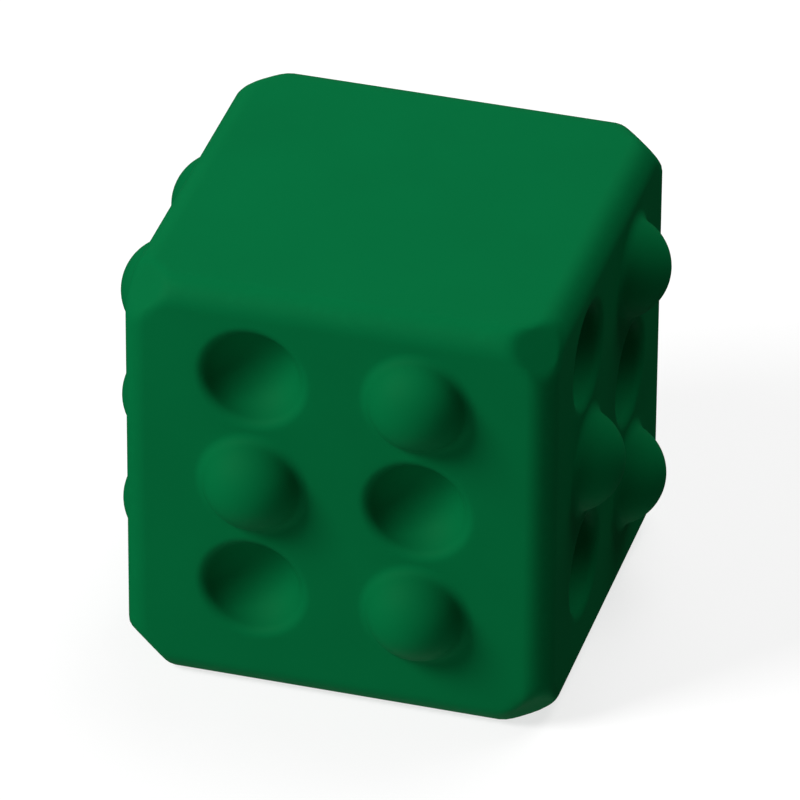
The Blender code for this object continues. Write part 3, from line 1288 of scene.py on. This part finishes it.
@dataclass
class Fasteners:
    """The eight socket screws and the knurled inserts that they hold in."""

    steel: Finish
    brass: Finish
    around: int = 48
    tip: tuple[Point, Point] = ((0.6, 0.0), (0.8, 0.0007))    # share of the shank, then down
    plain: float = 0.001          # length without thread at each end
    crown: tuple[Point, ...] = ((0.0, 0.0005), (0.0002, 0.00015), (0.0006, 0.0))    # in, then up
    lead_in: float = 0.0004       # bevel outside an insert's ends
    knurl: float = 0.00012        # by how much a knurled ring swells and shrinks
    knurls: int = 24
    bands: Point = (0.08, 0.58)   # share of an insert's length at which each band starts
    # Rings of one band: share of the length past its start, then share of the full knurl.
    band: tuple[Point, ...] = ((0.0, 0.0), (0.04, 1.0), (0.30, 1.0), (0.34, 0.0))

    def screw_rows(self) -> list[Row]:
        """Rings of one screw, from its tip down to the bottom of its socket.

        Returns:
            The rings.
        """
        low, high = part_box("base_screw_1")
        head, shank, shoulder = half_width("base_screw_1"), SIZES.shank, SIZES.shoulder
        bevel, count = SIZES.bevel, self.around
        rows = [circle(shank * share, high.z - down, count) for share, down in self.tip]
        rows += thread(shank, SIZES.thread_depth, SIZES.pitch, shoulder + self.plain,
                       high.z - self.plain, count)
        rows += turned([
            (shank, shoulder + bevel), (shank + bevel, shoulder),
            (head - bevel, shoulder), (head, shoulder - bevel),
            *((head - inward, low.z + up) for inward, up in self.crown)], count)
        rows += [hexagon(SIZES.socket + bevel, low.z, count), hexagon(SIZES.socket, low.z + bevel, count),
                 hexagon(SIZES.socket, low.z + SIZES.socket_depth, count)]
        return rows

    def insert_rows(self) -> list[Row]:
        """Rings of one knurled insert, down its outer side and up its bore.

        Returns:
            The rings.
        """
        low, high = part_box("threaded_insert_1")
        bevel, lead, count = SIZES.bevel, self.lead_in, self.around * 2
        outer, bore = half_width("threaded_insert_1"), SIZES.shank + bevel
        waist = outer - self.knurl
        rows = turned([(outer - lead, high.z), (waist, high.z - lead)], count)
        for start in self.bands:
            for share, deep in self.band:
                z = high.z - (start + share) * (high.z - low.z)
                rows.append(circle(waist, z, count, self.knurls, deep * self.knurl))
        rows += turned([(waist, low.z + lead), (outer - lead, low.z),
                        (bore + bevel, low.z), (bore, low.z + bevel),
                        (bore, high.z - bevel), (bore + bevel, high.z)], count)
        return rows

    def build(self) -> list[bpy.types.Object]:
        """Make both sets.

        Returns:
            The two finished pieces.
        """
        tree = copy_tree()
        made = []
        for name, node, rows, closed, finish, slot, seed in (
            ("socket_screws", "base_screw", self.screw_rows(), False, self.steel, "screw_steel", 4),
            ("knurled_inserts", "threaded_insert", self.insert_rows(), True, self.brass,
             "insert_brass", 9),
        ):
            nodes = numbered(node)
            pattern = helper(rows, closed=closed, name=f"{node}_pattern")
            piece = points_object(name, [middle(n) for n in nodes])
            grow(piece, tree, {"Piece": pattern, "Largest Turn": TURN, "Seed": seed,
                               "Material": finish.material()})
            discard([pattern])
            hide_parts(*nodes)
            made.append(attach(piece, "die"))
        return made


@dataclass
class VentBung:
    """The bung with its thread and coin slot, and the seal ring under its head."""

    plastic: Finish
    rubber: Finish
    around: int = 72
    slot: tuple[float, float, float] = (0.021, 0.0028, 0.0018)    # length, width and depth
    tip: tuple[Point, Point] = ((0.0022, 0.0), (0.0012, 0.0006))    # in, then down
    plain: float = 0.0008         # length without thread at each end
    bevel: float = 0.0004
    flange: float = 0.0012        # from the edge of the head's flat top out to its box
    grips: int = 24
    grip_depth: float = 0.00035
    grip_ends: Point = (0.0003, 0.0007)    # below the shoulder: start and full depth
    grip_feet: Point = (0.0010, 0.0006)    # above the underside: full depth and end
    crown: tuple[Point, Point] = ((0.0008, 0.0002), (0.0014, 0.0))    # in, then up
    seal_soften: float = 0.0007
    seal_clearance: float = 0.001
    seal_crisp: float = 60.0      # degrees past which the seal's edges are sharp

    def rows(self) -> list[Row]:
        """Rings of the bung, from its tip down to the underside of its head.

        Returns:
            The rings.
        """
        low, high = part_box("vent_bung")
        head, shank, shoulder = half_width("vent_bung"), SIZES.bung_shank, SIZES.bung_shoulder
        rim, count = self.grip_depth, self.around
        rows = turned([(shank - inward, high.z - down) for inward, down in self.tip], count)
        rows += thread(shank, SIZES.bung_thread_depth, SIZES.bung_pitch, shoulder + self.plain,
                       high.z - self.plain, count)
        rows += turned([(shank, shoulder + self.bevel), (shank + self.bevel, shoulder),
                        (head - self.flange, shoulder)], count)
        start, full = self.grip_ends
        foot, end = self.grip_feet
        for z, deep in ((shoulder - start, 0.0), (shoulder - full, rim),
                        (low.z + foot, rim), (low.z + end, 0.0)):
            rows.append(circle(head - rim, z, count, self.grips, deep))
        return rows + turned([(head - inward, low.z + up) for inward, up in self.crown], count)

    def build(self) -> list[bpy.types.Object]:
        """Make the bung and its seal.

        Returns:
            The two finished pieces.
        """
        low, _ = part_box("vent_bung")
        place = middle("vent_bung")
        bm = bmesh.new()
        skin(bm, self.rows(), place=place)
        bung = mesh_object(bm, "threaded_bung", self.plastic.material())
        bm = bmesh.new()
        bmesh.ops.create_cube(bm, size=1)
        length, width, depth = self.slot
        bmesh.ops.scale(bm, vec=(length, width, 2 * depth), verts=bm.verts)
        bmesh.ops.translate(bm, vec=(place.x, place.y, low.z), verts=bm.verts)
        combine(bung, [("DIFFERENCE", mesh_object(bm, "coin_slot", None))])
        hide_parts("vent_bung")
        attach(bung, "bung")

        low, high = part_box("bung_seal")
        radii = (SIZES.bung_shank + self.seal_clearance, half_width("bung_seal"))
        profile = loop(radii, (low.z, high.z), self.seal_soften, 4)
        bm = bmesh.new()
        skin(bm, turned(profile, self.around), True, place)
        seal = mesh_object(bm, "seal_ring", self.rubber.material(), self.seal_crisp)
        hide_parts("bung_seal")
        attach(seal, "bung_travel")
        return [bung, seal]


@dataclass
class CentrePost:
    """The tube that holds the top and the base apart, and the pad at each end."""

    plastic: Finish
    rubber: Finish
    around: int = 64
    wall: float = 0.003
    soften: float = 0.0004
    pad_bore: float = 0.008
    pad_soften: float = 0.0006

    def ring(self, name: str, node: str, bore: float, soften: float,
             material: bpy.types.Material, slot: str) -> bpy.types.Object:
        """A turned ring that fills a node's box.

        Args:
            name: the piece's name.
            node: the node that it stands for.
            bore: its inner radius.
            soften: how far its edges are rounded.
            material: its finish.
            slot: the record's material slot; not used.

        Returns:
            The finished piece.
        """
        low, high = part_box(node)
        bm = bmesh.new()
        skin(bm, turned(loop((bore, high.x), (low.z, high.z), soften), self.around), True)
        piece = mesh_object(bm, name, material)
        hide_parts(node)
        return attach(piece, "die")

    def build(self) -> list[bpy.types.Object]:
        """Make the post and its pads.

        Returns:
            The three finished pieces.
        """
        rubber = self.rubber.material()
        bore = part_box("centre_post")[1].x - self.wall
        tube = self.ring("post_tube", "centre_post", bore, self.soften, self.plastic.material(),
                         "post_grey")
        pads = [self.ring(name, node, self.pad_bore, self.pad_soften, rubber, "seal_rubber")
                for name, node in (("lower_pad", "lower_post_pad"), ("upper_pad", "upper_post_pad"))]
        return [tube, *pads]


# ---- studio --------------------------------------------------------------------------


@dataclass(frozen=True)
class Lamp:
    """A soft square lamp."""

    name: str
    direction: tuple[float, float, float]    # from the block towards it
    size: float
    power: float                  # watts
    mirrored: bool = False        # whether it shows in reflections


LAMPS = (
    Lamp("key", (-0.62, -0.50, 0.60), 1.6, 172.0, mirrored=True),
    Lamp("overhead", (0.20, 0.45, 0.87), 3.0, 115.0),
    Lamp("low_front", (-0.10, -0.90, -0.40), 2.0, 48.0),
    Lamp("right_fill", (0.90, -0.25, 0.25), 2.5, 11.0),
    Lamp("rear", (-0.20, 0.95, 0.10), 3.5, 30.0),
    Lamp("underside", (0.0, 0.0, -1.0), 3.0, 42.0, mirrored=True),
)


@dataclass
class Studio:
    """Pale floor, soft lights and the camera."""

    centre: Vector
    azimuth: float = 15.9         # degrees to the right of the front
    elevation: float = 32.78
    roll: float = 0.39
    distance: float = 6.17
    lens: float = 418.0
    shift: Point = (0.0049, -0.0082)
    floor_size: float = 12.0
    floor_gap: float = 0.0004     # keeps it out of the underside's plane
    floor_glow: float = 0.72
    floor_grey: float = 0.30
    lamp_distance: float = 4.0
    backdrop: float = 1.0         # brightness behind everything
    ambient: float = 0.035        # brightness of the surroundings as a light

    def camera(self) -> None:
        """Add the camera, turned towards the block's centre."""
        azimuth, elevation, roll = (math.radians(a) for a in (self.azimuth, self.elevation, self.roll))
        back = Vector((math.sin(azimuth) * math.cos(elevation),
                       -math.cos(azimuth) * math.cos(elevation), math.sin(elevation)))
        level = Vector((math.cos(azimuth), math.sin(azimuth), 0))
        right = (math.cos(roll) * level + math.sin(roll) * back.cross(level)).normalized()
        up = back.cross(right)
        data = bpy.data.cameras.new("camera")
        data.lens = self.lens
        data.sensor_width = 36.0
        data.shift_x, data.shift_y = self.shift
        data.clip_end = 100.0
        camera = bpy.data.objects.new("camera", data)
        turn = Matrix((right, up, back)).transposed().to_4x4()
        camera.matrix_world = Matrix.Translation(self.centre + back * self.distance) @ turn
        bpy.context.scene.collection.objects.link(camera)
        bpy.context.scene.camera = camera

    def light(self, lamp: Lamp) -> None:
        """Set up a lamp that faces the block.

        Args:
            lamp: what it is like and where it stands.
        """
        data = bpy.data.lights.new(lamp.name, "AREA")
        data.size = lamp.size
        data.energy = lamp.power
        made = bpy.data.objects.new(lamp.name, data)
        made.visible_glossy = lamp.mirrored
        away = Vector(lamp.direction).normalized()
        turn = away.to_track_quat("Z", "Y").to_matrix().to_4x4()
        made.matrix_world = Matrix.Translation(self.centre + away * self.lamp_distance) @ turn
        bpy.context.scene.collection.objects.link(made)

    def floor(self) -> None:
        """Add the pale floor: it glows a little, and nothing of it shows from underneath."""
        bm = bmesh.new()
        bmesh.ops.create_grid(bm, x_segments=1, y_segments=1, size=self.floor_size)
        bmesh.ops.translate(bm, vec=(0, 0, -self.floor_gap), verts=bm.verts)
        grey = (self.floor_grey,) * 3
        material = Finish("pale_floor", grey, roughness=0.9, specular=0.0, clouds=0.004).material()
        graph = Graph(material.node_tree)
        shader = material.node_tree.nodes["Principled BSDF"]
        shader.inputs["Emission Color"].default_value = (1, 1, 1, 1)
        shader.inputs["Emission Strength"].default_value = self.floor_glow
        underneath = graph.node("ShaderNodeNewGeometry", output="Backfacing")
        nothing = graph.node("ShaderNodeBsdfTransparent")
        surface = graph.node("ShaderNodeMixShader", None, {
            0: underneath, 1: Value(graph, shader.outputs["BSDF"]), 2: nothing})
        output = material.node_tree.nodes["Material Output"]
        material.node_tree.links.new(surface.socket, output.inputs["Surface"])
        floor = mesh_object(bm, "studio_floor", material)
        floor.visible_diffuse = False
        floor.visible_glossy = False
        floor.visible_shadow = False
        floor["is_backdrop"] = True

    def world(self) -> None:
        """Add white surroundings that light the block only a little."""
        scene = bpy.context.scene
        scene.world = bpy.data.worlds.new("studio")
        scene.world.use_nodes = True
        graph = Graph(scene.world.node_tree)
        seen = graph.node("ShaderNodeLightPath", output="Is Camera Ray")
        background = scene.world.node_tree.nodes["Background"]
        strength = seen * (self.backdrop - self.ambient) + self.ambient
        scene.world.node_tree.links.new(strength.socket, background.inputs["Strength"])
        background.inputs["Color"].default_value = (1, 1, 1, 1)
        scene.view_settings.view_transform = "Standard"

    def build(self) -> None:
        """Set the studio up."""
        self.camera()
        self.floor()
        self.world()
        for lamp in LAMPS:
            self.light(lamp)


# ---- everything ----------------------------------------------------------------------


COVER = Finish("cover_polyethylene", (0.0012, 0.115, 0.034), roughness=0.66, specular=0.05,
               grain_scale=1400.0, grain_height=0.00006)
RUBBER = Finish("seal_rubber", (0.018, 0.018, 0.019), roughness=0.82, specular=0.3,
                grain_scale=2200.0)
STEEL = Finish("screw_steel", (0.56, 0.56, 0.57), roughness=0.34, metallic=1.0, clouds=0.03,
               grain_scale=2600.0, grain_height=0.00001)
BRASS = Finish("insert_brass", (0.72, 0.50, 0.20), roughness=0.38, metallic=1.0, clouds=0.05,
               grain_scale=2600.0, grain_height=0.00001)
NYLON = Finish("black_nylon", (0.022, 0.022, 0.024), roughness=0.48, specular=0.4,
               grain_scale=2000.0, grain_height=0.00003)
PIPE = Finish("grey_pipe", (0.33, 0.34, 0.345), roughness=0.55, clouds=0.03, grain_scale=500.0,
              grain_height=0.00003, stretch=(1.0, 1.0, 0.03))


def moulded_skin() -> MouldedSkin:
    """The shell's finish, which knows where the block's edges are."""
    _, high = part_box("die_shell")
    return MouldedSkin(
        "moulded_polyethylene", (0.0008, 0.121, 0.0350), roughness=0.66, specular=0.02,
        grain_scale=700.0, grain_height=0.00009, half=Vector((high.y, high.y, high.z / 2)))


def corners() -> list[list[float]]:
    """The whole object's box as plain lists."""
    return [list(map(float, corner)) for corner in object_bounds()]


def main() -> None:
    """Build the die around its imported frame."""
    logging.basicConfig(level=logging.INFO, format="%(message)s")
    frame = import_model()
    _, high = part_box("die_shell")
    Studio(Vector((0, 0, high.z / 2))).build()
    makers: list[Callable[[], object]] = [
        DieShell(moulded_skin()).build, BaseCover(COVER).build, Fasteners(STEEL, BRASS).build,
        VentBung(NYLON, RUBBER).build, CentrePost(PIPE, RUBBER).build]
    for make in makers:
        made = make()
        for piece in made if isinstance(made, list) else [made]:
            LOG.info("made %s: %d faces", piece.name, len(piece.data.polygons))
    gasket = frame["nodes"]["base_gasket"]
    gasket.data.materials.clear()
    gasket.data.materials.append(RUBBER.material())


if __name__ == "__main__":
    main()
